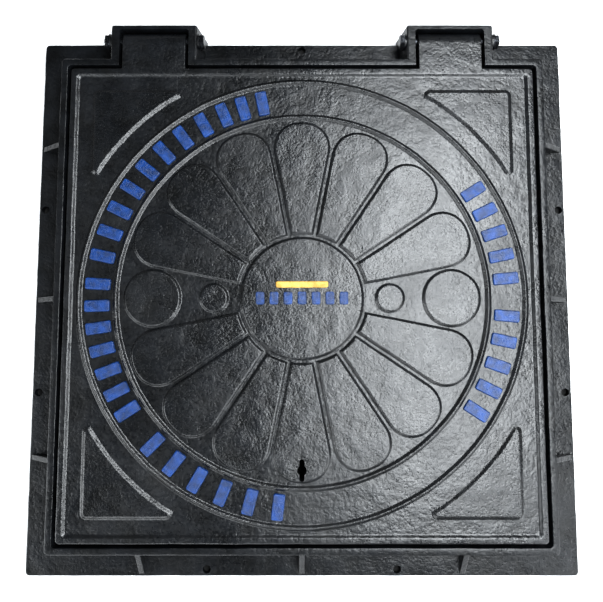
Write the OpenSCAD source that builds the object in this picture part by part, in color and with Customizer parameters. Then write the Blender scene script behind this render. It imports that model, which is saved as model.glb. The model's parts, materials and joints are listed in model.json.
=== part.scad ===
// Hinged square manhole cover: a cast lid in a cast frame.
// Origin: middle of the frame's underside. +Z is up, the hinges are on the +Y side.

/* [Lid] */
// Side of the square lid
lid_w = 600; // [480:10:800]
// Height of the lid's edge, from its seat to its top
lid_h = 22; // [18:1:36]
// Width of the raised border along the lid's edge
border_w = 9.5; // [6:0.5:16]
// Depth of the sunken field between the raised parts
relief = 3; // [1.5:0.5:4]
// Thickness of the lid's plate under the field
plate_t = 8; // [5:0.5:10]
// Thickness of the stiffening ribs under the lid
lid_rib_t = 8; // [5:0.5:14]
// Depth of the stiffening ribs below the plate
lid_rib_h = 22; // [12:1:26]
// Number of stiffening ribs each way, an even number so that none meets the key slot
lid_rib_n = 2; // [2:2:6]

/* [Frame] */
// Height of the frame
frame_h = 40; // [34:1:60]
// How far the base flange stands out from the wall
flange_out = 37; // [26:1:60]
// Thickness of the base flange
flange_t = 8; // [5:0.5:12]
// Thickness of the upright wall
wall_t = 9.5; // [6:0.5:16]
// Width of the ledge that the lid rests on, inwards from the wall
seat_w = 23.5; // [14:0.5:40]
// Thickness of that ledge
seat_t = 8; // [5:0.5:10]
// Distance of the outer gussets from the middle one
gusset_pitch = 202; // [120:1:230]
// Thickness of a gusset
gusset_t = 6; // [4:0.5:12]
// How far the top of a gusset stays below the top of the wall
gusset_drop = 5; // [2:1:12]
// Height of a gusset's outer end above the flange
gusset_toe = 1; // [0.5:0.5:4]

/* [Anchor holes] */
// Diameter of the holes for ground anchors
anchor_d = 10; // [6:0.5:12]
// Distance of the hole centres from the edge of the flange
anchor_inset = 9; // [7:0.5:14]
// Distance of the paired holes from the middle of their side
anchor_off = 120; // [80:1:160]

/* [Hinge] */
// Distance between the middles of the two hinges
hinge_spacing = 386; // [300:2:440]
// Distance of the hinge axis from the lid's edge
hinge_reach = 40; // [34:1:48]
// Radius of the rounded end of a lid tab
knuckle_r = 10; // [8:0.5:11]
// Width of a lid tab
tab_w = 82; // [60:1:100]
// Thickness of a housing cheek at its top
cheek_t = 11; // [7:0.5:16]
// How much wider each cheek is at the ground
cheek_draft = 8; // [0:0.5:12]
// Thickness of the housing's back wall
back_t = 6; // [5:0.5:12]
// Height of the flat bosses under the bolt head and the washer
boss_h = 2.5; // [2.5:0.1:5]
// Diameter of those bosses
boss_d = 19; // [16:0.5:20]
// How much wider than the washer the machined spot face round it is
spot_play = 1; // [0.5:0.1:3]

/* [Hinge bolts] */
// Thread diameter of the hinge bolts
bolt_d = 10; // [8:1:12]
// Width of the bolt head and nut across the flats
bolt_af = 17; // [13:1:19]
// Height of the bolt head
head_h = 6.4; // [5:0.1:8]
// Height of the thin nut
nut_h = 5; // [4:0.1:6]
// Thickness of the washer
washer_t = 2; // [1:0.1:2.5]
// Outside diameter of the washer
washer_d = 20; // [17:0.5:24]
// Length of thread that shows past the nut
thread_end = 2; // [1:0.5:4]

/* [Tread pattern] */
// Radius of the middle of the outer ring bead
ring_out_r = 281; // [220:1:285]
// Radius of the middle of the inner ring bead
ring_in_r = 234.5; // [190:0.5:238]
// Width of both ring beads
bead_w = 7; // [4:0.5:8]
// Radius of the plain hub pad
hub_r = 77; // [40:1:84]
// Number of sectors round the hub
sectors = 16; // [12:4:20]
// Width of the groove between two pads
groove_w = 5; // [3:0.5:7]
// Gap from the tip of a petal pad to the inner ring bead
tip_gap = 4; // [2:0.5:10]
// Radius of the large side studs
stud_big_r = 36; // [24:0.5:37]
// Radius of the small side studs
stud_small_r = 18; // [10:0.5:22]
// Distance of the large side studs from the middle
stud_big_at = 188; // [170:1:189]
// Distance of the small side studs from the middle
stud_small_at = 110.5; // [105:0.5:125]
// Distance of the corner pads from the lid's edge
pad_inset = 30; // [20:1:40]
// Gap from the outer ring bead to a corner pad
pad_gap = 22.5; // [12:0.5:30]
// Radius of the corner pads' rounded corners
pad_r = 5; // [2:0.5:8]

/* [Painted marks] */
// Radial height of a painted ring mark
mark_h = 32; // [16:1:34]
// Width of a painted ring mark
mark_w = 15; // [8:0.5:20]
// Corner radius of every painted mark
mark_r = 2.5; // [1:0.5:3.5]
// Number of blocks in the middle row
hub_marks = 7; // [3:1:7]
// Width of a block in the middle row
hub_mark_w = 11; // [8:0.5:11.5]
// Height of a block in the middle row
hub_mark_h = 16; // [8:0.5:18]
// Spacing of the blocks in the middle row
hub_mark_pitch = 17.5; // [14:0.5:18]
// Length of the accent bar above the middle row
accent_w = 66; // [30:1:80]
// Width of the accent bar
accent_h = 8; // [7.5:0.5:12]
// Gap between the middle row and the accent bar
accent_gap = 5; // [3:0.5:12]
// How far the marks on the hub stand up from it
hub_mark_t = 1.5; // [1:0.5:3]

/* [Key slot] */
// Length of the slot for the lifting key
key_len = 27; // [20:1:32]
// Width of the slot
key_w = 6; // [5:0.5:10]
// Diameter of the round middle of the slot
key_d = 12; // [9:0.5:14]
// Distance of the slot's middle from the middle of the lid
key_at = 212; // [190:1:213]
// Side of the thickened square under the slot
key_boss_w = 44; // [38:1:60]
// Depth of that thickening
key_boss_t = 7; // [4:0.5:10]

/* [Clearances] */
// Gap all round the lid and on both sides of each tab
lid_gap = 3.5; // [2:0.5:6]
// Gap between a knuckle and the back of its pocket
knuckle_gap = 2.5; // [1.5:0.5:5]
// Least gap between the underside of a tab and the wall below it
tab_gap = 2; // [1:0.5:5]
// Diametral clearance of the lid's tabs on the hinge bolts
hinge_play = 1; // [0.6:0.1:2]
// Diametral clearance of the bolts in the cheeks
cheek_play = 0.5; // [0.2:0.1:1]
// Gap from the lid's deep ribs to the edge of the seat ledge
rib_gap = 12; // [8:1:20]
// Gap between the lid's shallow ribs and the top of the seat ledge
ledge_gap = 1; // [0.5:0.5:3]

/* [Hidden] */
$fn = 96;
eps = 0.5;

iron = "#34373b";
zinc = "#5d6063";
blue = "#1d4fa8";
yellow = "#f0cf63";

// Heights
seat_z = frame_h - lid_h;
field_z = frame_h - relief;
plate_z = field_z - plate_t;
lid_rib_z = plate_z - lid_rib_h;

// Half widths of the nested squares
lid_in = lid_w / 2 - border_w;
wall_in = lid_w / 2 + lid_gap;
wall_out = wall_in + wall_t;
flange_half = wall_out + flange_out;
opening = wall_in - seat_w;

// Hinge
axis_y = lid_w / 2 + hinge_reach;
axis_z = frame_h - knuckle_r;
pocket_half = tab_w / 2 + lid_gap;
pocket_z = min(seat_z, axis_z - knuckle_r - tab_gap);
cheek_half = pocket_half + cheek_t;
pocket_back = axis_y + knuckle_r + knuckle_gap;
housing_back = pocket_back + back_t;
boss_half = cheek_half + boss_h;

// Tread pattern
field_angle = 360 / sectors;
petal_in = hub_r + groove_w;
petal_out = ring_in_r - bead_w / 2 - tip_gap;
petal_at = (petal_out + groove_w / 2) / (1 + sin(field_angle / 2));
petal_r = petal_out - petal_at;
pad_half = lid_w / 2 - pad_inset;
pad_arc_r = ring_out_r + bead_w / 2 + pad_gap;
mark_at = (ring_in_r + ring_out_r) / 2;

// The key slot's ends are just short of half round
key_end_r = key_w / 2 - 0.01;

// Groups of ring marks: first angle, last angle, number of marks
left_groups = [[101.5, 113, 3], [119.5, 168, 8], [176, 213, 7], [224.5, 263.5, 6]];
right_groups = [[-33, -5, 5], [5.5, 32, 5]];

// A rounded bar lying along X
module rounded_bar(length, width, thickness, r) {
    linear_extrude(thickness) {
        square([length - 2 * r, width], center = true);
        square([length, width - 2 * r], center = true);
        for (x = [-1, 1], y = [-1, 1])
            translate([x * (length / 2 - r), y * (width / 2 - r)]) circle(r);
    }
}

// A square frame between two half widths
module square_ring(outer, inner, z0, z1) {
    difference() {
        translate([-outer, -outer, z0]) cube([2 * outer, 2 * outer, z1 - z0]);
        translate([-inner, -inner, z0 - eps]) cube([2 * inner, 2 * inner, z1 - z0 + 2 * eps]);
    }
}

// A cylinder on the hinge axis, from x0 to x1
module on_axis(r, x0, x1, sides = 96) {
    translate([x0, axis_y, axis_z]) rotate([0, 90, 0]) cylinder(r = r, h = x1 - x0, $fn = sides);
}

module at_hinges() {
    for (side = [-1, 1]) translate([side * hinge_spacing / 2, 0, 0]) children();
}

// One gusset on the +X side of the frame
module gusset() {
    end = flange_half - anchor_inset / 2;
    top = frame_h - gusset_drop;
    translate([0, gusset_t / 2, 0]) rotate([90, 0, 0]) linear_extrude(gusset_t)
        polygon([[wall_out - eps, flange_t - eps], [end, flange_t - eps],
            [end, flange_t + gusset_toe], [wall_out, top], [wall_out - eps, top]]);
}

module gussets() {
    for (turn = [0, 180, 270], y = [-1, 0, 1])
        rotate([0, 0, turn]) translate([0, y * gusset_pitch, 0]) gusset();
}

// Housing that holds one lid tab, its cheeks wider at the ground
module housing() {
    translate([0, housing_back, 0]) rotate([90, 0, 0]) linear_extrude(housing_back - wall_in - eps)
        polygon([[-cheek_half - cheek_draft, 0], [cheek_half + cheek_draft, 0],
            [cheek_half, frame_h], [-cheek_half, frame_h]]);
    on_axis(boss_d / 2, -boss_half, boss_half);
}

// Flat round seats cut into the drafted cheeks for the bolt head and the washer
module spot_faces() {
    r = (washer_d + spot_play) / 2;
    depth = cheek_draft + head_h;
    on_axis(r, boss_half, boss_half + depth);
    on_axis(r, -boss_half - depth, -boss_half);
}

module pocket() {
    start = lid_w / 2 - 2 * eps;
    translate([-pocket_half, start, pocket_z])
        cube([2 * pocket_half, pocket_back - start, frame_h]);
    translate([-pocket_half, wall_out, flange_t])
        cube([2 * pocket_half, pocket_back - wall_out, frame_h]);
}

module anchor_holes() {
    at = flange_half - anchor_inset;
    holes = [[0, at], [at, anchor_off], [at, -anchor_off], [-at, anchor_off], [-at, -anchor_off],
        [anchor_off, -at], [-anchor_off, -at]];
    for (p = holes) translate([p[0], p[1], -eps]) cylinder(d = anchor_d, h = flange_t + 2 * eps);
}

module frame() {
    color(iron) difference() {
        union() {
            square_ring(flange_half, wall_in, 0, flange_t);
            square_ring(wall_out, wall_in, 0, frame_h);
            square_ring(wall_in + eps, opening, seat_z - seat_t, seat_z);
            gussets();
            at_hinges() housing();
        }
        at_hinges() {
            pocket();
            spot_faces();
            on_axis((bolt_d + cheek_play) / 2, -boss_half - eps, boss_half + eps);
        }
        anchor_holes();
    }
}

// One petal pad, lying along +X: straight sides along its grooves, then a round tip
module petal() {
    side = field_angle / 2;
    root = hub_r;
    near = root * tan(side) - groove_w / 2 / cos(side);
    touch = [petal_at - petal_r * sin(side), petal_r * cos(side)];
    difference() {
        union() {
            translate([petal_at, 0]) circle(petal_r);
            polygon([[root, -near], [touch[0], -touch[1]], touch, [root, near]]);
        }
        circle(petal_in);
    }
}

// One corner pad: two straight legs and an arc that follows the ring
module corner_pad() {
    mid = pad_half - pad_r;
    tip = sqrt(pow(pad_arc_r + pad_r, 2) - pow(mid, 2));
    touch = [tip, mid] * pad_arc_r / (pad_arc_r + pad_r);
    difference() {
        polygon([touch, [tip, pad_half], [mid, pad_half], [pad_half, mid], [pad_half, tip],
            [touch[1], touch[0]]]);
        circle(pad_arc_r, $fn = 192);
    }
    for (p = [[tip, mid], [mid, mid], [mid, tip]]) translate(p) circle(pad_r);
}

module bead(r) {
    difference() {
        circle(r + bead_w / 2, $fn = 192);
        circle(r - bead_w / 2, $fn = 192);
    }
}

module tread_pattern() {
    circle(hub_r);
    bead(ring_in_r);
    bead(ring_out_r);
    for (i = [0 : sectors - 1])
        if (i % (sectors / 2) != 0) rotate(i * field_angle) petal();
    for (side = [-1, 1]) {
        translate([side * stud_big_at, 0]) circle(stud_big_r);
        translate([side * stud_small_at, 0]) circle(stud_small_r);
    }
    for (turn = [0 : 90 : 270]) rotate(turn) corner_pad();
}

// Ribs both ways under the plate: shallow to the skirt, deep over the opening
module lid_ribs() {
    deep = opening - rib_gap;
    pitch = 2 * deep / (lid_rib_n + 1);
    for (turn = [0, 90], i = [1 : lid_rib_n]) rotate([0, 0, turn])
        translate([i * pitch - deep - lid_rib_t / 2, 0, 0]) {
            translate([0, -deep, lid_rib_z]) cube([lid_rib_t, 2 * deep, lid_rib_h + eps]);
            translate([0, -lid_in - eps, seat_z + ledge_gap])
                cube([lid_rib_t, 2 * (lid_in + eps), plate_z - seat_z - ledge_gap + eps]);
        }
}

module key_slot() {
    translate([0, -key_at, lid_rib_z - eps]) {
        cylinder(d = key_d, h = frame_h);
        rotate([0, 0, 90]) rounded_bar(key_len, key_w, frame_h, key_end_r);
    }
}

// Tab at the back edge of the lid, with its rounded end on the hinge axis
module tab() {
    translate([-tab_w / 2, lid_w / 2 - eps, axis_z - knuckle_r])
        cube([tab_w, hinge_reach + eps, 2 * knuckle_r]);
    on_axis(knuckle_r, -tab_w / 2, tab_w / 2);
}

module lid() {
    color(iron) difference() {
        union() {
            square_ring(lid_w / 2, lid_in, seat_z, frame_h);
            translate([-lid_in - eps, -lid_in - eps, plate_z])
                cube([2 * (lid_in + eps), 2 * (lid_in + eps), plate_t]);
            translate([0, 0, field_z - eps]) linear_extrude(relief + eps) tread_pattern();
            lid_ribs();
            translate([-key_boss_w / 2, -key_at - key_boss_w / 2, plate_z - key_boss_t])
                cube([key_boss_w, key_boss_w, key_boss_t + eps]);
            at_hinges() tab();
        }
        at_hinges() on_axis((bolt_d + hinge_play) / 2, -tab_w / 2 - eps, tab_w / 2 + eps);
        key_slot();
    }
}

// Bolt on one hinge: "way" is the side of the hinge that its head is on
module hinge_bolt(way) {
    reach = boss_half + washer_t + nut_h + thread_end;
    color(zinc) scale([way, 1, 1]) {
        on_axis(bolt_d / 2, -reach, boss_half + eps);
        on_axis(bolt_af / sqrt(3), boss_half, boss_half + head_h, 6);
    }
}

module hinge_washer(way) {
    color(zinc) scale([way, 1, 1]) difference() {
        on_axis(washer_d / 2, -boss_half - washer_t, -boss_half);
        on_axis((bolt_d + cheek_play) / 2, -boss_half - washer_t - eps, -boss_half + eps);
    }
}

module hinge_nut(way) {
    seat = -boss_half - washer_t;
    color(zinc) scale([way, 1, 1]) difference() {
        on_axis(bolt_af / sqrt(3), seat - nut_h, seat, 6);
        on_axis(bolt_d / 2, seat - nut_h - eps, seat + eps);
    }
}

module ring_marks(groups) {
    color(blue) for (g = groups, i = [0 : g[2] - 1])
        rotate([0, 0, g[0] + i * (g[1] - g[0]) / (g[2] - 1)])
            translate([mark_at, 0, field_z]) rounded_bar(mark_h, mark_w, relief, mark_r);
}

module hub_mark_row() {
    color(blue) for (i = [0 : hub_marks - 1])
        translate([(i - (hub_marks - 1) / 2) * hub_mark_pitch, 0, frame_h])
            rounded_bar(hub_mark_w, hub_mark_h, hub_mark_t, mark_r);
}

module hub_accent_bar() {
    color(yellow) translate([0, (hub_mark_h + accent_h) / 2 + accent_gap, frame_h])
        rounded_bar(accent_w, accent_h, hub_mark_t, mark_r);
}

module on_left() {
    translate([-hinge_spacing / 2, 0, 0]) children();
}

module on_right() {
    translate([hinge_spacing / 2, 0, 0]) children();
}

frame();
lid();
on_left() hinge_bolt(1);  // hinge_bolt_left
on_right() hinge_bolt(-1);  // hinge_bolt_right
on_left() hinge_washer(1);  // hinge_washer_left
on_right() hinge_washer(-1);  // hinge_washer_right
on_left() hinge_nut(1);  // hinge_nut_left
on_right() hinge_nut(-1);  // hinge_nut_right
ring_marks(left_groups);  // ring_marks_left
ring_marks(right_groups);  // ring_marks_right
hub_mark_row();
hub_accent_bar();
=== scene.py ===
import json
import math

import bmesh
import bpy
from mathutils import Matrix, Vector


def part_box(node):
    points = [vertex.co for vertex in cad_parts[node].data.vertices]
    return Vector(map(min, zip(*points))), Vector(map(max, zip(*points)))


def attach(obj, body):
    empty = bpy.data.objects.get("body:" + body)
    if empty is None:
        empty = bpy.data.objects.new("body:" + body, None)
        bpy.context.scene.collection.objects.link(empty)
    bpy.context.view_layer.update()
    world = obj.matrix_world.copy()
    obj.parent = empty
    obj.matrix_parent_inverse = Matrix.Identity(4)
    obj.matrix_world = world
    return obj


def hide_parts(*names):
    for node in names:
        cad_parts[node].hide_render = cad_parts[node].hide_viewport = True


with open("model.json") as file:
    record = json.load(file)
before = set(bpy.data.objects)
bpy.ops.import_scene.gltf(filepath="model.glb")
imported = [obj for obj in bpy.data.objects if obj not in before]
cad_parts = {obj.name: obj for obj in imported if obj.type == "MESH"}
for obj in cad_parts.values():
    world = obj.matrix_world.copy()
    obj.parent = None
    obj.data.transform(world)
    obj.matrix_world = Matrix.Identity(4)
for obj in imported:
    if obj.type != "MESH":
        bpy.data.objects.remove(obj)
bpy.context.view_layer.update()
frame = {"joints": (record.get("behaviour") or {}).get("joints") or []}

mm = 0.001
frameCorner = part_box("frame")[1]
hingeAxis = Vector(frame["joints"][0]["pos_m"])
flangeHalf = frameCorner.x / mm          # half the side of the frame's base flange
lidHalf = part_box("lid")[1].x / mm        # half the side of the lid
topZ = frameCorner.z / mm                # top of the lid's raised parts and of the frame
axisY = hingeAxis.y / mm
axisZ = hingeAxis.z / mm


def linearColour(hexValue):
    channels = [int(hexValue[i:i + 2], 16) / 255 for i in (1, 3, 5)]
    return (*[c / 12.92 if c <= 0.04045 else ((c + 0.055) / 1.055) ** 2.4 for c in channels], 1.0)


def addNode(material, kind, settings=None, inputs=None):
    node = material.node_tree.nodes.new("ShaderNode" + kind)
    for name, value in (settings or {}).items():
        setattr(node, name, value)
    for name, value in (inputs or {}).items():
        if isinstance(value, bpy.types.NodeSocket):
            material.node_tree.links.new(value, node.inputs[name])
        else:
            node.inputs[name].default_value = value
    return node


def startMaterial(name):
    material = bpy.data.materials.new(name)
    material.use_nodes = True
    shader = material.node_tree.nodes["Principled BSDF"]
    where = addNode(material, "TexCoord").outputs["Object"]
    return material, shader, where


def setInputs(material, shader, inputs):
    for name, value in inputs.items():
        if isinstance(value, bpy.types.NodeSocket):
            material.node_tree.links.new(value, shader.inputs[name])
        else:
            shader.inputs[name].default_value = value


# Sand-cast iron dipped in black bitumen paint: a nearly black skin with a soft gloss, the sand's grain
# under it, and the drag marks of the brush that spread it.
bitumen = {
    "thin": "#121417",       # where the paint is thin over the grey iron
    "thick": "#050607",      # where it pooled
    "dust": "#26282b",       # road dust in the low spots
    "grainSize": 1.7,        # sand grain, drawn as coarse as it needs to show, mm
    "dimpleSize": 3.6,       # rounded dimples of the skin, mm
    "lumpSize": 24,          # slow waves of the mould's face, mm
    "streakSize": 1.6,       # width of a brush mark, mm
    "grainHeight": 0.16, "dimpleHeight": 0.42, "pitHeight": 0.08, "lumpHeight": 1.6, "streakHeight": 0.10,
    "gloss": 0.22,
    "dull": 0.42,
    "shine": 0.5,            # how strongly the paint reflects
}


def makeCastIron(name, values):
    material, shader, where = startMaterial(name)
    lumps = addNode(material, "TexNoise", {}, {
        "Vector": where, "Scale": 1 / (values["lumpSize"] * mm), "Detail": 3.0, "Roughness": 0.55})
    patches = addNode(material, "TexNoise", {}, {
        "Vector": where, "Scale": 1 / (3.2 * values["lumpSize"] * mm), "Detail": 4.0, "Roughness": 0.6})
    grain = addNode(material, "TexNoise", {}, {
        "Vector": where, "Scale": 1 / (values["grainSize"] * mm), "Detail": 5.0, "Roughness": 0.62})
    dimples = addNode(material, "TexNoise", {}, {
        "Vector": where, "Scale": 1 / (values["dimpleSize"] * mm), "Detail": 2.0, "Roughness": 0.5})
    pits = addNode(material, "TexVoronoi", {"feature": "F1"}, {
        "Vector": where, "Scale": 1 / (1.7 * values["grainSize"] * mm), "Randomness": 1.0})
    pitDepth = addNode(material, "MapRange", {}, {
        "Value": pits.outputs["Distance"], "From Min": 0.05, "From Max": 0.42})
    # brush marks run along X in some patches and along Y in the others
    alongX = addNode(material, "Mapping", {}, {"Vector": where, "Scale": (0.07, 1.0, 1.0)})
    alongY = addNode(material, "Mapping", {}, {"Vector": where, "Scale": (1.0, 0.07, 1.0)})
    streaksX = addNode(material, "TexNoise", {}, {
        "Vector": alongX.outputs["Vector"], "Scale": 1 / (values["streakSize"] * mm), "Detail": 3.0})
    streaksY = addNode(material, "TexNoise", {}, {
        "Vector": alongY.outputs["Vector"], "Scale": 1 / (values["streakSize"] * mm), "Detail": 3.0})
    side = addNode(material, "MapRange", {}, {
        "Value": patches.outputs["Fac"], "From Min": 0.44, "From Max": 0.56})
    streaks = addNode(material, "Mix", {}, {
        "Factor": side.outputs["Result"], "A": streaksX.outputs["Fac"], "B": streaksY.outputs["Fac"]})
    lowBump = addNode(material, "Bump", {}, {
        "Height": lumps.outputs["Fac"], "Distance": values["lumpHeight"] * mm, "Strength": 1.0})
    streakBump = addNode(material, "Bump", {}, {
        "Height": streaks.outputs["Result"], "Distance": values["streakHeight"] * mm, "Strength": 1.0,
        "Normal": lowBump.outputs["Normal"]})
    dimpleBump = addNode(material, "Bump", {}, {
        "Height": dimples.outputs["Fac"], "Distance": values["dimpleHeight"] * mm, "Strength": 1.0,
        "Normal": streakBump.outputs["Normal"]})
    pitBump = addNode(material, "Bump", {}, {
        "Height": pitDepth.outputs["Result"], "Distance": values["pitHeight"] * mm, "Strength": 0.8,
        "Normal": dimpleBump.outputs["Normal"]})
    grainBump = addNode(material, "Bump", {}, {
        "Height": grain.outputs["Fac"], "Distance": values["grainHeight"] * mm, "Strength": 1.0,
        "Normal": pitBump.outputs["Normal"]})
    thickness = addNode(material, "ValToRGB", {}, {"Fac": lumps.outputs["Fac"]})
    thickness.color_ramp.elements[0].position = 0.32
    thickness.color_ramp.elements[0].color = linearColour(values["thick"])
    thickness.color_ramp.elements[1].position = 0.68
    thickness.color_ramp.elements[1].color = linearColour(values["thin"])
    dusty = addNode(material, "MapRange", {}, {
        "Value": grain.outputs["Fac"], "From Min": 0.56, "From Max": 0.74, "To Max": 0.45})
    colour = addNode(material, "Mix", {"data_type": "RGBA"}, {
        "Factor": dusty.outputs["Result"], 6: thickness.outputs["Color"], 7: linearColour(values["dust"])})
    sheen = addNode(material, "Mix", {}, {
        "Factor": 0.6, "A": dimples.outputs["Fac"], "B": patches.outputs["Fac"]})
    roughness = addNode(material, "MapRange", {}, {
        "Value": sheen.outputs["Result"], "From Min": 0.36, "From Max": 0.64,
        "To Min": values["gloss"], "To Max": values["dull"]})
    setInputs(material, shader, {
        "Base Color": colour.outputs[2], "Roughness": roughness.outputs["Result"], "IOR": 1.55,
        "Specular IOR Level": values["shine"], "Normal": grainBump.outputs["Normal"]})
    return material


# Gloss enamel brushed by hand over the cast marks: a full colour with a soft shine, thin in places,
# and the brush's strokes left in it.
blueEnamel = {"body": "#053877", "thin": "#03234c", "brushSize": 1.4, "strokeHeight": 0.75, "gloss": 0.26}
yellowEnamel = {"body": "#c8a650", "thin": "#a37c28", "brushSize": 1.4, "strokeHeight": 0.75, "gloss": 0.30}


def makeEnamel(name, values):
    material, shader, where = startMaterial(name)
    strokes = addNode(material, "TexNoise", {}, {
        "Vector": where, "Scale": 1 / (values["brushSize"] * mm), "Detail": 4.0, "Roughness": 0.6})
    cover = addNode(material, "TexNoise", {}, {
        "Vector": where, "Scale": 1 / (7 * values["brushSize"] * mm), "Detail": 2.0})
    amount = addNode(material, "MapRange", {}, {
        "Value": cover.outputs["Fac"], "From Min": 0.35, "From Max": 0.7})
    colour = addNode(material, "Mix", {"data_type": "RGBA"}, {
        "Factor": amount.outputs["Result"], 6: linearColour(values["thin"]),
        7: linearColour(values["body"])})
    roughness = addNode(material, "MapRange", {}, {
        "Value": strokes.outputs["Fac"], "From Min": 0.3, "From Max": 0.7,
        "To Min": values["gloss"], "To Max": values["gloss"] + 0.18})
    skin = addNode(material, "Bump", {}, {
        "Height": strokes.outputs["Fac"], "Distance": values["strokeHeight"] * mm, "Strength": 1.0})
    setInputs(material, shader, {
        "Base Color": colour.outputs[2], "Roughness": roughness.outputs["Result"], "IOR": 1.5,
        "Normal": skin.outputs["Normal"]})
    return material


# Black-oxide steel bolts: a dark, faintly blue metal, worn brighter in small patches.
blackOxide = {"body": "#1c1d20", "worn": "#505357", "wearSize": 3.0, "turning": 0.35, "turningHeight": 0.03}


def makeBoltSteel(name, values):
    material, shader, where = startMaterial(name)
    wear = addNode(material, "TexNoise", {}, {
        "Vector": where, "Scale": 1 / (values["wearSize"] * mm), "Detail": 4.0, "Roughness": 0.65})
    worn = addNode(material, "MapRange", {}, {
        "Value": wear.outputs["Fac"], "From Min": 0.52, "From Max": 0.72})
    colour = addNode(material, "Mix", {"data_type": "RGBA"}, {
        "Factor": worn.outputs["Result"], 6: linearColour(values["body"]), 7: linearColour(values["worn"])})
    turned = addNode(material, "Mapping", {}, {"Vector": where, "Scale": (1.0, 0.05, 0.05)})
    rings = addNode(material, "TexNoise", {}, {
        "Vector": turned.outputs["Vector"], "Scale": 1 / (values["turning"] * mm), "Detail": 1.0})
    roughness = addNode(material, "MapRange", {}, {
        "Value": wear.outputs["Fac"], "From Min": 0.3, "From Max": 0.7, "To Min": 0.48, "To Max": 0.28})
    marks = addNode(material, "Bump", {}, {
        "Height": rings.outputs["Fac"], "Distance": values["turningHeight"] * mm, "Strength": 0.7})
    setInputs(material, shader, {
        "Base Color": colour.outputs[2], "Roughness": roughness.outputs["Result"], "Metallic": 0.85,
        "Normal": marks.outputs["Normal"]})
    return material


castIron = makeCastIron("bitumen_painted_sand_cast_iron", bitumen)
castFlange = makeCastIron("bitumen_painted_iron_frame", dict(
    bitumen, gloss=0.26, shine=0.32, dust="#1c1e20"))
castTread = makeCastIron("bitumen_painted_iron_worn_tread", dict(
    bitumen, gloss=0.18, dull=0.38, grainSize=1.2, dimpleSize=2.6, grainHeight=0.20, streakHeight=0.012))
blueGloss = makeEnamel("brushed_blue_gloss_enamel", blueEnamel)
yellowGloss = makeEnamel("brushed_yellow_gloss_enamel", yellowEnamel)
boltSteel = makeBoltSteel("black_oxide_steel", blackOxide)
print("materials made")


def takeOnly(piece):
    bpy.ops.object.select_all(action="DESELECT")
    piece.select_set(True)
    bpy.context.view_layer.objects.active = piece


def startPiece(name, addShape, **where):
    bpy.ops.object.select_all(action="DESELECT")
    addShape(**where)
    piece = bpy.context.object
    piece.name = name
    bpy.ops.object.transform_apply(location=True, rotation=True, scale=True)
    return piece


def addBlock(name, low, high):
    middle = [(a + b) / 2 * mm for a, b in zip(low, high)]
    size = [(b - a) * mm for a, b in zip(low, high)]
    return startPiece(name, bpy.ops.mesh.primitive_cube_add, size=1, location=middle, scale=size)


def addRod(name, radius, x0, x1, sides=48):
    # a round bar on the hinge axis, between two places along X
    return startPiece(name, bpy.ops.mesh.primitive_cylinder_add, vertices=sides, radius=radius * mm,
                      depth=(x1 - x0) * mm, location=((x0 + x1) / 2 * mm, axisY * mm, axisZ * mm),
                      rotation=(0, math.radians(90), 0))


def pick(piece, kind, test):
    # selects, in edit mode, just the faces, edges or verts that pass the test
    bpy.ops.mesh.select_mode(type={"faces": "FACE", "edges": "EDGE", "verts": "VERT"}[kind])
    bpy.ops.mesh.select_all(action="DESELECT")
    shape = bmesh.from_edit_mesh(piece.data)
    shape.normal_update()
    for element in getattr(shape, kind):
        if test(element):
            element.select_set(True)
    shape.select_flush_mode()
    bmesh.update_edit_mesh(piece.data)


def edit(piece):
    takeOnly(piece)
    bpy.ops.object.mode_set(mode="EDIT")


def leave():
    bpy.ops.object.mode_set(mode="OBJECT")


def along(edge, axis):
    a, b = (v.co for v in edge.verts)
    step = (b - a).normalized()
    return abs(step[axis]) > 0.9


def at(value, target, slack=0.05):
    return abs(value / mm - target) < slack


def allAt(edge, axis, target, slack=0.05):
    return all(at(v.co[axis], target, slack) for v in edge.verts)


def applyChange(piece, kind, **settings):
    takeOnly(piece)
    change = piece.modifiers.new(kind.lower(), kind)
    for name, value in settings.items():
        setattr(change, name, value)
    bpy.ops.object.modifier_apply(modifier=change.name)


def combine(piece, tool, operation):
    applyChange(piece, "BOOLEAN", operation=operation, object=tool, solver="EXACT")
    bpy.data.objects.remove(tool)


def turnPiece(piece, turn, shift=(0, 0, 0)):
    takeOnly(piece)
    piece.rotation_euler.z = turn
    piece.location = [v * mm for v in shift]
    bpy.ops.object.transform_apply(location=True, rotation=True, scale=True)


def copyPiece(piece, name, turn=0.0, shift=(0, 0, 0)):
    twin = piece.copy()
    twin.data = piece.data.copy()
    twin.name = name
    bpy.context.collection.objects.link(twin)
    turnPiece(twin, turn, shift)
    return twin


def joinPieces(pieces, name):
    bpy.ops.object.select_all(action="DESELECT")
    for piece in pieces:
        piece.select_set(True)
    bpy.context.view_layer.objects.active = pieces[0]
    bpy.ops.object.join()
    pieces[0].name = name
    return pieces[0]


def sweepOutline(profile):
    # drags the selected loop of edges through (distance from the middle, height) pairs
    bpy.ops.mesh.select_mode(type="EDGE")
    bpy.ops.mesh.select_all(action="SELECT")
    reach, height = profile[0]
    for nextReach, nextHeight in profile[1:]:
        bpy.ops.mesh.extrude_region_move(
            TRANSFORM_OT_translate={"value": (0, 0, (nextHeight - height) * mm)})
        share = nextReach / reach
        bpy.ops.transform.resize(value=(share, share, 1), center_override=(0, 0, 0))
        reach, height = nextReach, nextHeight


def castEdge(steps):
    # raises the selected faces in insets, each (inwards, upwards)
    for across, up in steps:
        bpy.ops.mesh.inset(thickness=across * mm, depth=up * mm, use_even_offset=True)


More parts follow.
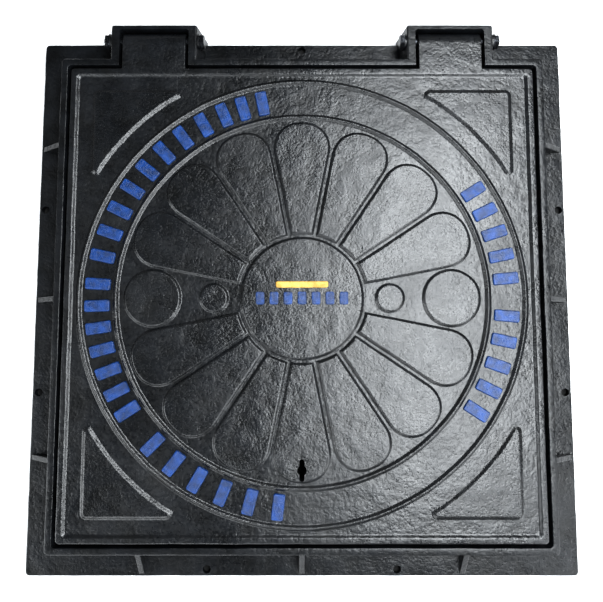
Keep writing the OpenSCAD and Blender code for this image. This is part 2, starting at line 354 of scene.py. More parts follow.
# The castings' outlines waver a little, all by the same two slow patterns, so that what meets still meets.
waver = {"amount": 1.1, "size": 28}
waverPatterns = {}
for direction, basis in (("X", "BLENDER_ORIGINAL"), ("Y", "IMPROVED_PERLIN")):
    pattern = bpy.data.textures.new("cast_waver_" + direction, "CLOUDS")
    pattern.noise_basis = basis
    pattern.noise_scale = waver["size"] * mm
    pattern.noise_depth = 2
    waverPatterns[direction] = pattern


def finishPiece(piece, name, body, material, stoodFor=(), cast=True, angle=38):
    piece.name = name
    piece.data.name = name
    edit(piece)
    bpy.ops.mesh.select_all(action="SELECT")
    bpy.ops.mesh.remove_doubles(threshold=0.004 * mm)
    bpy.ops.mesh.normals_make_consistent(inside=False)
    leave()
    if cast:
        for direction, pattern in waverPatterns.items():
            applyChange(piece, "DISPLACE", texture=pattern, direction=direction, texture_coords="GLOBAL",
                        strength=waver["amount"] * mm, mid_level=0.5)
    bpy.ops.object.shade_smooth_by_angle(angle=math.radians(angle))
    applyChange(piece, "WEIGHTED_NORMAL", mode="FACE_AREA", weight=100, keep_sharp=True)
    piece.data.materials.clear()
    piece.data.materials.append(material)
    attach(piece, body)
    if stoodFor:
        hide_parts(*stoodFor)
    return piece


view = {"lens": 32.24, "sensor": 36, "place": (-0.0006, -0.0581, 0.7144), "tilt": 4.60}
bpy.ops.object.select_all(action="DESELECT")
bpy.ops.object.camera_add(location=view["place"], rotation=(math.radians(view["tilt"]), 0, 0))
camera = bpy.context.object
camera.data.lens = view["lens"]
camera.data.sensor_width = view["sensor"]
camera.data.clip_start = 0.01
bpy.context.scene.camera = camera

studio = {
    "floorSide": 5, "floorColour": "#f6f6f6", "floorRough": 0.9,      # the side in metres
    # the next line sets the black sheet of painted shade that stands in for the shaft's shadow under the
    # cover
    "shadeSheetInset": 2, "shadeSheetUp": 0.2, "shadeSheetColour": "#0c0c0c", "shadeSheetRough": 0.95,
    "wallBright": 0.62, "wallTop": 0.12, "ceilingBright": 0.06, "ceilingFrom": 0.42,
    "lampColour": (0.93, 0.97, 1.0),                                  # a little cooler than white
}


def laySheet(name, side, height, paper, colour, roughness):
    sheet = startPiece(name, bpy.ops.mesh.primitive_plane_add, size=side, location=(0, 0, height))
    material, shader = startMaterial(paper)[:2]
    setInputs(material, shader, {"Base Color": linearColour(colour), "Roughness": roughness})
    sheet.data.materials.append(material)


laySheet("studio_floor", studio["floorSide"], 0, "matt_white_paper",
         studio["floorColour"], studio["floorRough"])
# a black sheet of painted shade under the cover, standing in for the shadow down the shaft, so that no pale
# floor shows through its holes
laySheet("painted_shaft_shade", 2 * (flangeHalf - studio["shadeSheetInset"]) * mm, studio["shadeSheetUp"] * mm,
         "painted_shade_black_paper", studio["shadeSheetColour"], studio["shadeSheetRough"])

lights = {
    # name: place, aimed at, size, watts
    "softboxRight": ((0.44, 0.13, 1.15), (0.34, 0.13, 0.0), (1.45, 0.56), 38),
    "windowFrontLeft": ((-1.75, -0.80, 0.80), (0, 0, 0.05), (1.3, 1.2), 27),
    "windowFront": ((-0.45, -1.80, 0.80), (0, 0, 0.05), (1.3, 1.0), 19),
    "windowFrontRight": ((1.6, -1.25, 0.95), (0, 0, 0.05), (1.3, 1.4), 36),
    "panelFarLeft": ((-1.35, -0.1, 1.5), (-0.3, 0, 0), (2.4, 0.6), 3),
}
for name, (place, target, size, watts) in lights.items():
    bpy.ops.object.light_add(type="AREA", location=place)
    lamp = bpy.context.object
    lamp.name = name
    lamp.data.shape = "RECTANGLE"
    lamp.data.size, lamp.data.size_y = size
    lamp.data.energy = watts
    lamp.data.color = studio["lampColour"]
    lamp.rotation_euler = (Vector(target) - Vector(place)).to_track_quat("-Z", "Y").to_euler()
# pale studio walls low down, and a dark ceiling
world = bpy.data.worlds.new("studio_air")
world.use_nodes = True
direction = addNode(world, "TexCoord").outputs["Generated"]
height = addNode(world, "SeparateXYZ", {}, {"Vector": direction}).outputs["Z"]
paleness = addNode(world, "MapRange", {}, {
    "Value": height, "From Min": studio["wallTop"], "From Max": studio["ceilingFrom"],
    "To Min": studio["wallBright"], "To Max": studio["ceilingBright"]})
setInputs(world, world.node_tree.nodes["Background"], {
    "Color": linearColour("#ffffff"), "Strength": paleness.outputs["Result"]})
bpy.context.scene.world = world
bpy.context.scene.view_settings.view_transform = "Standard"
bpy.context.scene.view_settings.look = "Medium High Contrast"
print("camera, floor and lights placed")

# the frame casting: flange, wall, seat ledge, gussets and hinge housings
frameStyle = {
    "cornerRadius": 5, "waverRoom": 0.7,
    "flangeTop": 8, "wallOut": 313, "wallIn": 303.5,
    "ledgeIn": 280, "ledgeTop": 18, "ledgeUnder": 10,
    "sideCuts": 48,          # points along each side, for the cast waver
    "anchorRadius": 5, "anchorInset": 9, "anchorOff": 120,
    "gussetThick": 8, "gussetPitch": 202, "gussetDrop": 5, "gussetEnd": 345.5, "gussetToe": 1.5,
    "gussetTaper": 0.85, "gussetEdge": 1.1,
}


def startOutline(name, half, corner, height, cuts):
    # a square of edges with rounded corners
    piece = startPiece(name, bpy.ops.mesh.primitive_plane_add, size=2 * half * mm,
                       location=(0, 0, height * mm))
    edit(piece)
    bpy.ops.mesh.select_all(action="SELECT")
    bpy.ops.mesh.bevel(affect="VERTICES", offset=corner * mm, segments=5)
    bpy.ops.mesh.select_all(action="SELECT")
    bpy.ops.mesh.delete(type="ONLY_FACE")
    pick(piece, "edges", lambda e: e.calc_length() > 3 * corner * mm)
    bpy.ops.mesh.subdivide(number_cuts=cuts)
    bpy.ops.mesh.select_all(action="SELECT")
    return piece


def makeFrameRing(style):
    # the section of the ring, every edge rounded by a few close points
    out = flangeHalf - style["waverRoom"]
    flange, wallOut, wallIn = style["flangeTop"], style["wallOut"], style["wallIn"]
    ledgeIn, ledgeTop, ledgeUnder = style["ledgeIn"], style["ledgeTop"], style["ledgeUnder"]
    profile = [
        (out, 0), (out, flange - 1.6), (out - 0.5, flange - 0.6), (out - 1.6, flange),
        (wallOut + 3.2, flange), (wallOut + 1.5, flange + 0.5), (wallOut + 0.5, flange + 2),
        (wallOut - 0.2, topZ - 2.2), (wallOut - 0.7, topZ - 0.8), (wallOut - 2, topZ),
        (wallIn + 1.8, topZ), (wallIn + 0.7, topZ - 0.6), (wallIn + 0.3, topZ - 1.8),
        (wallIn, ledgeTop + 2), (wallIn - 0.6, ledgeTop + 0.6), (wallIn - 2, ledgeTop),
        (ledgeIn + 1.6, ledgeTop), (ledgeIn + 0.5, ledgeTop - 0.5), (ledgeIn, ledgeTop - 1.6),
        (ledgeIn, ledgeUnder + 1.2), (ledgeIn + 1.2, ledgeUnder), (wallIn - 2, ledgeUnder),
        (wallIn - 0.5, ledgeUnder - 0.6), (wallIn, ledgeUnder - 2), (wallIn, 0)]
    ring = startOutline("frame_ring", out, style["cornerRadius"], 0, style["sideCuts"])
    sweepOutline(profile)
    pick(ring, "edges", lambda e: allAt(e, 2, 0) and e.is_boundary)
    bpy.ops.mesh.bridge_edge_loops()
    bpy.ops.mesh.select_all(action="SELECT")
    bpy.ops.mesh.normals_make_consistent(inside=False)
    leave()
    return ring


def makeGusset(style):
    top = topZ - style["gussetDrop"]
    half = style["gussetThick"] / 2
    gusset = addBlock("gusset", (style["wallOut"] - 4, -half, 2), (style["gussetEnd"], half, top))
    edit(gusset)
    pick(gusset, "edges", lambda e: allAt(e, 2, top) and allAt(e, 0, style["gussetEnd"]))
    bpy.ops.transform.translate(value=(0, 0, (style["flangeTop"] + style["gussetToe"] - top) * mm))
    pick(gusset, "faces", lambda f: f.normal.z > 0.2)
    bpy.ops.transform.resize(value=(1, style["gussetTaper"], 1), center_override=(0, 0, 0))
    # the two long edges of the sloping top
    pick(gusset, "edges", lambda e: not along(e, 2) and not along(e, 1)
         and sum(v.co.z for v in e.verts) > 30 * mm)
    bpy.ops.mesh.bevel(offset=style["gussetEdge"] * mm, segments=3)
    leave()
    return gusset


hingeStyle = {
    "spacing": 386,            # between the middles of the two hinges
    "halfTop": 55.5, "halfFoot": 63.3, "front": 306, "back": 358.3,
    "pocketHalf": 44.5, "pocketFront": 300, "pocketBack": 352.5, "pocketFloor": 18, "pocketDeep": 8,
    "pocketCorner": 4, "pocketDraft": 1.012,
    "bossRadius": 9.5, "bossHalf": 58, "spotRadius": 10.5, "pinRadius": 5.25,
    "edge": 1.8, "backCorner": 2.5,
}


def makeHousing(style):
    foot, top = style["halfFoot"], style["halfTop"]
    housing = addBlock("housing", (-foot, style["front"], 0), (foot, style["back"], topZ))
    edit(housing)
    pick(housing, "faces", lambda f: f.normal.z > 0.9)
    bpy.ops.transform.resize(value=(top / foot, 1, 1), center_override=(0, 0, 0))
    pick(housing, "edges", lambda e: not along(e, 0) and not along(e, 1) and e.verts[0].co.y > axisY * mm)
    bpy.ops.mesh.bevel(offset=style["backCorner"] * mm, segments=4)
    # the edges of the top, apart from the one inside the wall
    pick(housing, "edges", lambda e: allAt(e, 2, topZ)
         and max(v.co.y for v in e.verts) > (style["front"] + 4) * mm)
    bpy.ops.mesh.bevel(offset=style["edge"] * mm, segments=3)
    leave()
    boss = addRod("boss", style["bossRadius"], -style["bossHalf"], style["bossHalf"])
    combine(housing, boss, "UNION")
    for side in (-1, 1):
        ends = sorted((side * style["bossHalf"], side * (foot + 6)))
        combine(housing, addRod("spot_face", style["spotRadius"], *ends), "DIFFERENCE")
    combine(housing, addRod("pin_hole", style["pinRadius"], -foot - 5, foot + 5, 32), "DIFFERENCE")
    return housing


def makePocketTool(style):
    half, back, wall = style["pocketHalf"], style["pocketBack"], frameStyle["wallOut"]
    tool = addBlock("pocket", (-half, style["pocketFront"], style["pocketFloor"]), (half, back, topZ + 2))
    edit(tool)
    pick(tool, "edges", lambda e: along(e, 2) and e.verts[0].co.y > axisY * mm)
    bpy.ops.mesh.bevel(offset=style["pocketCorner"] * mm, segments=5)
    bpy.ops.mesh.select_all(action="SELECT")
    bpy.ops.mesh.bisect(plane_co=(0, wall * mm, 0), plane_no=(0, 1, 0))
    pick(tool, "faces", lambda f: f.normal.z < -0.9 and f.calc_center_median().y > wall * mm)
    bpy.ops.mesh.extrude_region_move(
        TRANSFORM_OT_translate={"value": (0, 0, (style["pocketDeep"] - style["pocketFloor"]) * mm)})
    pick(tool, "faces", lambda f: f.normal.z > 0.9)
    bpy.ops.transform.resize(value=(style["pocketDraft"], 1, 1), center_override=(0, 0, 0))
    leave()
    return tool


def makeFrame():
    style = frameStyle
    casting = makeFrameRing(style)
    print("frame ring swept")
    housing = makeHousing(hingeStyle)
    gusset = makeGusset(style)
    hingePlaces = [(side * hingeStyle["spacing"] / 2, 0, 0) for side in (-1, 1)]
    for place in hingePlaces:
        combine(casting, copyPiece(housing, "housing_copy", shift=place), "UNION")
    for quarter in (0, 2, 3):     # the hinge side has none
        for row in (-1, 0, 1):
            placed = copyPiece(gusset, "gusset_row", shift=(0, row * style["gussetPitch"], 0))
            turnPiece(placed, math.radians(90 * quarter))
            combine(casting, placed, "UNION")
    pocket = makePocketTool(hingeStyle)
    for place in hingePlaces:
        combine(casting, copyPiece(pocket, "pocket_copy", shift=place), "DIFFERENCE")
    for spare in (housing, gusset, pocket):
        bpy.data.objects.remove(spare)
    reach = flangeHalf - style["anchorInset"]
    off = style["anchorOff"]
    sides = [(x * reach, y * off) for x in (1, -1) for y in (1, -1)]
    holes = [(0, reach), *sides, (off, -reach), (-off, -reach)]
    for x, y in holes:
        drill = startPiece("drill", bpy.ops.mesh.primitive_cylinder_add, vertices=32, depth=20 * mm,
                           radius=style["anchorRadius"] * mm, location=(x * mm, y * mm, 0))
        combine(casting, drill, "DIFFERENCE")
    return finishPiece(casting, "frame_casting", "frame", castFlange, ["frame"])


makeFrame()
print("frame casting made")

# the lid casting: plate, border, skirt, tabs, ribs and key boss
lidStyle = {
    "cornerRadius": 4.5, "relief": 3, "border": 9.5, "seat": 18, "plateUnder": 29,
    "sideCuts": 42,
    "tabHalf": 41, "tabRoot": 3.5, "tabUnder": 20, "tabEnd": 350, "tabRound": 9.9, "tabEdge": 1.0,
    "tabEase": 1.7,            # how much longer the round of the tab's end is above the axis
    "boreRadius": 5.5,
    "ribThick": 8, "ribPlace": 89.33, "ribFoot": 7, "ribReach": 268, "ribShallow": 19,
    "ribTaper": (0.7, 0.965), "ribEdge": 1.2,
    "keyPlace": 212, "keyLength": 27, "keyWidth": 6, "keyMiddle": 6,
    "bossHalf": 22, "bossUnder": 22, "bossTaper": 0.94, "bossEdge": 1.6,
}
fieldZ = topZ - lidStyle["relief"]


def makeLidPlate(style):
    edge = lidHalf - 0.3
    inner = lidHalf - style["border"]
    seat, under = style["seat"], style["plateUnder"]
    profile = [
        *[(inner - 2.6 + 0.65 * i, fieldZ + 1.5 * (1 - math.cos(math.pi * i / 8))) for i in range(9)],
        (edge - 1.8, topZ), (edge - 0.7, topZ - 0.4), (edge, topZ - 1.5),
        (edge - 0.3, seat + 1.4), (edge - 0.9, seat + 0.3), (edge - 1.8, seat),
        (inner + 1.4, seat), (inner + 0.3, seat + 0.4), (inner, seat + 1.5),
        (inner - 0.3, under - 2), (inner - 1, under - 0.5), (inner - 2.4, under)]
    plate = startOutline("lid_plate", profile[0][0], style["cornerRadius"], fieldZ, style["sideCuts"])
    bpy.ops.mesh.edge_face_add()
    sweepOutline(profile)
    bpy.ops.mesh.edge_face_add()
    leave()
    return plate


def makeTab(style):
    half = style["tabHalf"]
    root = lidHalf - style["tabRoot"]
    tab = addBlock("tab", (-half, root, style["tabUnder"]), (half, style["tabEnd"], topZ))
    edit(tab)
    pick(tab, "edges", lambda e: along(e, 0) and allAt(e, 1, style["tabEnd"]))
    bpy.ops.mesh.bevel(offset=style["tabRound"] * mm, segments=10)
    pick(tab, "verts", lambda v: v.co.z > (axisZ + 0.3) * mm and v.co.y > (axisY - 0.3) * mm)
    bpy.ops.transform.resize(value=(1, style["tabEase"], 1),
                             center_override=(0, style["tabEnd"] * mm, 0))
    # the edges round both cheeks, outside the lid
    pick(tab, "edges", lambda e: e.calc_face_angle(0) > 1.2 and at(abs(e.verts[0].co.x), half, 0.01)
         and max(v.co.y for v in e.verts) > lidHalf * mm)
    bpy.ops.mesh.bevel(offset=style["tabEdge"] * mm, segments=3)
    leave()
    combine(tab, addRod("tab_bore", style["boreRadius"], -half - 5, half + 5, 40), "DIFFERENCE")
    return tab


def makeKeyTool(style):
    half, place, reach = style["keyWidth"] / 2, -style["keyPlace"], style["keyLength"] / 2
    height = topZ + 5
    tool = addBlock("key_slot", (-half, place - reach, 0), (half, place + reach, height))
    edit(tool)
    pick(tool, "edges", lambda e: along(e, 2))
    bpy.ops.mesh.bevel(offset=0.96 * half * mm, segments=5)
    leave()
    middle = startPiece("key_middle", bpy.ops.mesh.primitive_cylinder_add, vertices=32,
                        radius=style["keyMiddle"] * mm, depth=height * mm,
                        location=(0, place * mm, height / 2 * mm))
    combine(tool, middle, "UNION")
    return tool


def makeRib(style):
    # one rib along Y: shallow out to the skirt, deep across the opening
    half, reach = style["ribThick"] / 2, style["ribReach"]
    end = lidHalf - style["border"] + 1
    rib = addBlock("rib", (-half, -end, style["ribShallow"]), (half, end, style["plateUnder"] + 1))
    edit(rib)
    for side in (-1, 1):
        bpy.ops.mesh.select_all(action="SELECT")
        bpy.ops.mesh.bisect(plane_co=(0, side * reach * mm, 0), plane_no=(0, 1, 0))
    pick(rib, "faces", lambda f: f.normal.z < -0.9 and abs(f.calc_center_median().y) < 0.1)
    bpy.ops.mesh.extrude_region_move(
        TRANSFORM_OT_translate={"value": (0, 0, (style["ribFoot"] - style["ribShallow"]) * mm)})
    bpy.ops.transform.resize(value=(*style["ribTaper"], 1), center_override=(0, 0, 0))
    pick(rib, "edges", lambda e: all(v.co.z < (style["plateUnder"] - 3) * mm for v in e.verts)
         and e.calc_face_angle(0) > 0.3)
    bpy.ops.mesh.bevel(offset=style["ribEdge"] * mm, segments=3)
    leave()
    return rib


keyTool = makeKeyTool(lidStyle)


def makeLid(style):
    casting = makeLidPlate(style)
    tab = makeTab(style)
    for side in (-1, 1):
        place = (side * hingeStyle["spacing"] / 2, 0, 0)
        combine(casting, copyPiece(tab, "tab_copy", shift=place), "UNION")
    bpy.data.objects.remove(tab)
    combine(casting, copyPiece(keyTool, "key_cut"), "DIFFERENCE")
    finishPiece(casting, "lid_casting", "lid", castIron, ["lid"])
    rib = makeRib(style)
    for number, (place, turn) in enumerate([(-1, 0), (1, 0), (-1, 90), (1, 90)]):
        placed = copyPiece(rib, "rib_row", shift=(place * style["ribPlace"], 0, 0))
        turnPiece(placed, math.radians(turn))
        finishPiece(placed, f"lid_rib_{number + 1}", "lid", castIron)
    bpy.data.objects.remove(rib)
    half, key, bossTop = style["bossHalf"], style["keyPlace"], style["plateUnder"] + 1
    boss = addBlock("boss", (-half, -key - half, style["bossUnder"]), (half, -key + half, bossTop))
    edit(boss)
    pick(boss, "faces", lambda f: f.normal.z < -0.9)
    bpy.ops.transform.resize(value=(style["bossTaper"], 1, 1), center_override=(0, 0, 0))
    pick(boss, "edges", lambda e: not allAt(e, 2, bossTop))
    bpy.ops.mesh.bevel(offset=style["bossEdge"] * mm, segments=3)
    leave()
    combine(boss, copyPiece(keyTool, "key_cut"), "DIFFERENCE")
    finishPiece(boss, "lid_key_boss", "lid", castIron)


makeLid(lidStyle)
print("lid casting made")

# tread pattern: hub, petals, studs, ring beads and corner pads
treadStyle = {
    "hubRadius": 77, "sectors": 16, "groove": 5, "petalTip": 227,
    "studBig": 36, "studSmall": 18, "studBigPlace": 188, "studSmallPlace": 110.5,
    "beadIn": 234.5, "beadOut": 281, "beadHalf": 4.6, "beadMiddle": 1.46, "beadSwing": 1.5,
    "beadFoot": (4.8, -0.6),  # out from the bead's middle line, and up from the field
    "padHalf": 270, "padArc": 307, "padFoot": 2.0, "padCorner": 7.5, "padWall": 6.0,
    "foot": 1.6,              # how far a pad's foot stands out past its middle line
    "wall": 4.4,              # width of a pad's sloping wall
    "sink": 1.4,              # how deep a pad reaches under the field
    "start": 0.05,            # where its wall starts, under the field
    "below": 0.08,            # how far its top stays under the frame's
}
padLow = fieldZ - treadStyle["sink"]
padHigh = fieldZ - treadStyle["start"]
padTop = topZ - treadStyle["below"]


def raiseTop(piece, wallWidth):
    # the wall is a soft S from the field to the top, as sand moulds leave it
    steps = 9
    rise = [(padTop - padHigh) * (1 - math.cos(math.pi * i / steps)) / 2 for i in range(steps + 1)]
    edit(piece)
    pick(piece, "faces", lambda f: f.normal.z > 0.9 and at(f.calc_center_median().z, padHigh, 0.2))
    bpy.ops.mesh.dissolve_faces()
    pick(piece, "faces", lambda f: f.normal.z > 0.9 and at(f.calc_center_median().z, padHigh, 0.2))
    castEdge([(wallWidth / steps, rise[i + 1] - rise[i]) for i in range(steps)] + [(0.3, 0)])
    leave()


def makeDisc(name, radius, x, sides):
    disc = startPiece(name, bpy.ops.mesh.primitive_cylinder_add, vertices=sides,
                      radius=(radius + treadStyle["foot"]) * mm, depth=(padHigh - padLow) * mm,
                      location=(x * mm, 0, (padLow + padHigh) / 2 * mm))
    raiseTop(disc, treadStyle["wall"])
    return finishPiece(disc, name, "lid", castTread, angle=50)


def makePetal(style):
    # a wedge with a full round tip, lying along +X, trimmed by the hub's groove
    spread = math.radians(180 / style["sectors"])
    gap = (style["groove"] / 2 - style["foot"]) / math.cos(spread)
    root, tip = style["hubRadius"], style["petalTip"] + style["foot"]
    wide = {x: x * math.tan(spread) - gap for x in (root, tip)}
    petal = addBlock("petal", (root, -wide[tip], padLow), (tip, wide[tip], padHigh))
    edit(petal)
    pick(petal, "faces", lambda f: f.normal.x < -0.9)
    bpy.ops.transform.resize(value=(1, wide[root] / wide[tip], 1), center_override=(0, 0, 0))
    pick(petal, "edges", lambda e: along(e, 2) and allAt(e, 0, tip))
    bpy.ops.mesh.bevel(offset=0.97 * wide[tip] * mm, segments=14)
    # points along the straight sides, for the cast waver
    pick(petal, "edges", lambda e: e.calc_length() > 80 * mm)
    bpy.ops.mesh.subdivide(number_cuts=8)
    leave()
    hubTool = startPiece("hub_cut", bpy.ops.mesh.primitive_cylinder_add, vertices=64, depth=0.1,
                         radius=(style["hubRadius"] + style["groove"] - style["foot"]) * mm)
    combine(petal, hubTool, "DIFFERENCE")
    return petal


def makeBead(name, radius, sides):
    # half of a soft ridge from its top down to its foot, and the same on the other side
    style, steps = treadStyle, 10
    half = [(style["beadHalf"] * i / steps,
             style["beadMiddle"] + style["beadSwing"] * math.cos(math.pi * i / steps))
            for i in range(steps + 1)] + [style["beadFoot"]]
    wall = [(-across, up) for across, up in reversed(half[1:])] + half
    profile = [(radius + across, fieldZ + up) for across, up in wall]
    bead = startPiece(name, bpy.ops.mesh.primitive_circle_add, vertices=sides,
                      radius=profile[0][0] * mm, location=(0, 0, profile[0][1] * mm))
    edit(bead)
    sweepOutline(profile)
    pick(bead, "edges", lambda e: e.is_boundary)
    bpy.ops.mesh.bridge_edge_loops()
    leave()
    return finishPiece(bead, name, "lid", castTread, angle=60)


def makeCornerPad(style):
    # three sides and a hollow arc; the corners are rounded off before the top is raised
    out, arc = style["padHalf"] + style["padFoot"], style["padArc"] - style["padFoot"]
    corner = style["padCorner"]
    pad = addBlock("corner_pad", (100, 100, padLow), (out, out, padHigh))
    arcTool = startPiece("arc_cut", bpy.ops.mesh.primitive_cylinder_add, vertices=256, depth=0.1,
                         radius=arc * mm)
    combine(pad, arcTool, "DIFFERENCE")
    tip = math.sqrt(arc ** 2 - out ** 2)
    tips = [Vector((tip, out)), Vector((out, tip))]
    half = math.asin(tip / arc) / 2 + 0.03
    reach = corner / math.tan(half)
    cut = (corner / math.sin(half) - corner) / math.cos(half)

    def fromTip(vert):
        return min((vert.co.xy / mm - t).length for t in tips)

    edit(pad)
    pick(pad, "verts", lambda v: 1 < fromTip(v) < 1.2 * reach)
    bpy.ops.mesh.dissolve_verts()
    pick(pad, "edges", lambda e: along(e, 2) and fromTip(e.verts[0]) < 1)
    bpy.ops.mesh.bevel(offset=cut * mm, segments=1)
    pick(pad, "edges", lambda e: along(e, 2) and abs(fromTip(e.verts[0]) - cut) < 1)
    bpy.ops.mesh.bevel(offset=0.97 * cut * math.sin(half) * mm, segments=4)
    pick(pad, "edges", lambda e: along(e, 2) and at(e.verts[0].co.x, out) and at(e.verts[0].co.y, out))
    bpy.ops.mesh.bevel(offset=(corner + 1.5) * mm, segments=5)
    leave()
    return pad


def makeTread(style):
    makeDisc("lid_hub_pad", style["hubRadius"], 0, 128)
    for side, word in ((-1, "left"), (1, "right")):
        makeDisc("lid_stud_large_" + word, style["studBig"], side * style["studBigPlace"], 80)
        makeDisc("lid_stud_small_" + word, style["studSmall"], side * style["studSmallPlace"], 56)
    makeBead("lid_ring_bead_inner", style["beadIn"], 240)
    makeBead("lid_ring_bead_outer", style["beadOut"], 288)
    petal = makePetal(style)
    raiseTop(petal, style["wall"])
    sectors = [sector for sector in range(style["sectors"]) if sector % (style["sectors"] // 2)]
    for number, sector in enumerate(sectors, 1):
        placed = copyPiece(petal, "petal_row", turn=math.radians(sector * 360 / style["sectors"]))
        if sector == style["sectors"] * 3 // 4:     # the key slot is cut through this one
            combine(placed, copyPiece(keyTool, "key_cut"), "DIFFERENCE")
        finishPiece(placed, f"lid_petal_pad_{number:02d}", "lid", castTread, angle=50)
    bpy.data.objects.remove(petal)
    pad = makeCornerPad(style)
    raiseTop(pad, style["padWall"])
    for quarter in range(4):
        placed = copyPiece(pad, "pad_row", turn=math.radians(90 * quarter))
        finishPiece(placed, f"lid_corner_pad_{quarter + 1}", "lid", castTread, angle=50)
    bpy.data.objects.remove(pad)


makeTread(treadStyle)
bpy.data.objects.remove(keyTool)
print("tread pattern made")

# painted marks: each group on the ring has its first angle, its last angle and its number of marks
markStyle = {
    "place": 257.75, "height": 32, "width": 15, "rise": 2.9, "corner": 2.5,
    "sink": 0.6,               # how deep a mark starts in the casting
    "straight": 0.3,           # the share of its rise that is straight
    "rounding": [(0.3, 0.35), (0.35, 0.22), (0.4, 0.10), (0.6, 0.03)],    # inwards, share of the rise
    "leftGroups": [(101.5, 113, 3), (119.5, 168, 8), (176, 213, 7), (224.5, 263.5, 6)],
    "rightGroups": [(-33, -5, 5), (5.5, 32, 5)],
    "hubCount": 7, "hubWidth": 11, "hubHeight": 16, "hubPitch": 17.5,
    "barLength": 66, "barWidth": 8, "barPlace": 17, "hubRise": 1.4,
}


def makeMark(name, x, y, long, wide, low, rise):
    style = markStyle
    mark = addBlock(name, (x - long / 2, y - wide / 2, low - style["sink"]),
                    (x + long / 2, y + wide / 2, low + style["straight"] * rise))
    edit(mark)
    pick(mark, "edges", lambda e: along(e, 2))
    bpy.ops.mesh.bevel(offset=style["corner"] * mm, segments=5)
    pick(mark, "faces", lambda f: f.normal.z > 0.9)
    castEdge([(across, share * rise) for across, share in style["rounding"]])
    leave()
    return mark


def makeRingMarks(name, node, groups):
    style = markStyle
    mark = makeMark("ring_mark", style["place"], 0, style["height"], style["width"], fieldZ, style["rise"])
    row = [copyPiece(mark, "mark_row", turn=math.radians(first + i * (last - first) / (count - 1)))
           for first, last, count in groups for i in range(count)]
    bpy.data.objects.remove(mark)
    finishPiece(joinPieces(row, name), name, "lid", blueGloss, [node], angle=50)


def makeHubMarks(style):
    count, pitch, rise = style["hubCount"], style["hubPitch"], style["hubRise"]
    block = makeMark("hub_block", 0, 0, style["hubWidth"], style["hubHeight"], topZ, rise)
    row = [copyPiece(block, "hub_row", shift=((i - (count - 1) / 2) * pitch, 0, 0))
           for i in range(count)]
    bpy.data.objects.remove(block)
    finishPiece(joinPieces(row, "painted_hub_row"), "painted_hub_row", "lid", blueGloss,
                ["hub_mark_row"], angle=50)
    accent = makeMark("accent", 0, style["barPlace"], style["barLength"], style["barWidth"], topZ, rise)
    finishPiece(accent, "painted_accent_bar", "lid", yellowGloss,
                ["hub_accent_bar"], angle=50)


makeRingMarks("painted_marks_left", "ring_marks_left", markStyle["leftGroups"])
makeRingMarks("painted_marks_right", "ring_marks_right", markStyle["rightGroups"])
makeHubMarks(markStyle)
print("painted marks made")

# hinge bolts, washers and nuts
fastenerStyle = {
    "shank": 4.95, "acrossFlats": 17, "headHeight": 6.4, "nutHeight": 5,
    "washerThick": 2, "washerRadius": 10, "washerEdge": 0.3,
    "coneDepth": 7.2, "coneReach": 12, "coneTrim": 0.4,      # the cone that turns a hexagon's corners down
    "gap": 0.02,                                             # between pieces that bear on each other
    "pitch": 1.5, "threadDepth": 0.85, "threadEnd": 2, "threadLength": 14,
}


def makeHexBlock(name, x0, x1, ends):
    # a hexagon whose corners are turned down at the given ends
    style = fastenerStyle
    corner, depth = style["acrossFlats"] / math.sqrt(3), style["coneDepth"]
    block = addRod(name, corner, x0, x1, 6)
    for end, way in ends:
        cone = startPiece("cone", bpy.ops.mesh.primitive_cone_add, vertices=64, depth=depth * mm,
                          radius1=(corner + style["coneReach"]) * mm,
                          radius2=(style["acrossFlats"] / 2 - style["coneTrim"]) * mm,
                          location=((end - way * depth / 2) * mm, axisY * mm, axisZ * mm),
                          rotation=(0, math.radians(90 * way), 0))
        combine(block, cone, "INTERSECT")
    return block


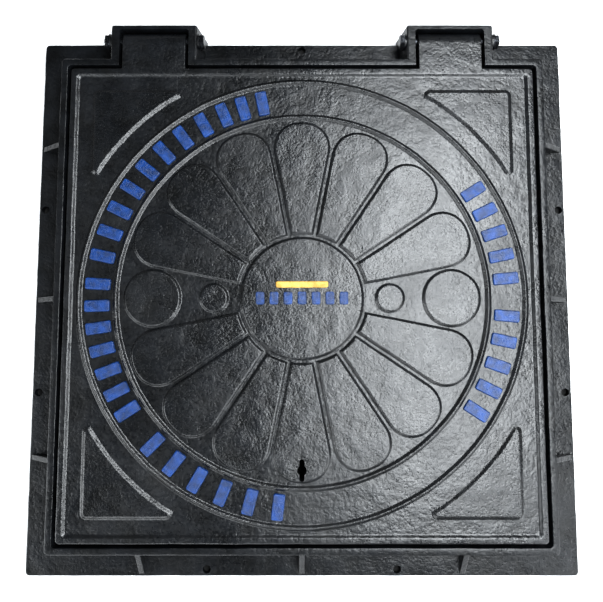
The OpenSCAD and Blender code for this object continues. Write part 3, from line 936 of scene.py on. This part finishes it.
def makeThread(x0, x1):
    # a threaded end: ridges a pitch apart on the bolt's own axis
    style = fastenerStyle
    thread = addRod("thread", style["shank"], x0, x1, 32)
    edit(thread)
    steps = int(round((x1 - x0) / style["pitch"])) * 2
    for i in range(1, steps):
        bpy.ops.mesh.select_all(action="SELECT")
        bpy.ops.mesh.bisect(plane_co=((x0 + i * style["pitch"] / 2) * mm, 0, 0), plane_no=(1, 0, 0))
    centre = (0, axisY * mm, axisZ * mm)
    share = 1 - style["threadDepth"] / style["shank"]
    for i in range(1, steps, 2):
        place = x0 + i * style["pitch"] / 2
        pick(thread, "verts", lambda v: at(v.co.x, place, 0.1))
        bpy.ops.transform.resize(value=(1, share, share), center_override=centre)
    pick(thread, "verts", lambda v: at(v.co.x, x0, 0.05))
    bpy.ops.transform.resize(value=(1, share, share), center_override=centre)
    leave()
    return thread


def makeFasteners():
    style = fastenerStyle
    seat, gap = hingeStyle["bossHalf"], style["gap"]
    headEnd = seat + style["headHeight"]
    tail = seat + style["washerThick"] + style["nutHeight"] + style["threadEnd"]
    bolt = addRod("bolt", style["shank"], -tail + style["threadLength"], seat + 1, 40)
    combine(bolt, makeThread(-tail, -tail + style["threadLength"] + 0.5), "UNION")
    combine(bolt, makeHexBlock("head", seat + gap, headEnd, [(headEnd, 1)]), "UNION")
    nutSeat = -seat - style["washerThick"]
    nutEnd = nutSeat - style["nutHeight"]
    washer = addRod("washer", style["washerRadius"], nutSeat, -seat - gap, 56)
    hole = addRod("washer_hole", hingeStyle["pinRadius"], -seat - 10, -seat + 10, 40)
    combine(washer, hole, "DIFFERENCE")
    applyChange(washer, "BEVEL", width=style["washerEdge"] * mm, segments=2, limit_method="ANGLE")
    nut = makeHexBlock("nut", nutEnd, nutSeat - gap, [(nutEnd, -1), (nutSeat, 1)])
    combine(nut, addRod("nut_bore", style["shank"] + 0.05, nutSeat - 12, nutSeat + 5, 40), "DIFFERENCE")
    # the right hinge's hardware is turned about, so that the two bolts' heads face each other
    across = hingeStyle["spacing"] / 2
    places = {"left": (0, (-across, 0, 0)), "right": (math.pi, (across, 2 * axisY, 0))}
    for word, (turn, shift) in places.items():
        for part, name in ((bolt, "bolt"), (washer, "washer"), (nut, "nut")):
            placed = copyPiece(part, name + "_copy", turn, shift)
            finishPiece(placed, f"{name}_{word}", "frame", boltSteel,
                        [f"hinge_{name}_{word}"], cast=False, angle=30)
    for spare in (bolt, washer, nut):
        bpy.data.objects.remove(spare)


makeFasteners()
print("fasteners made")
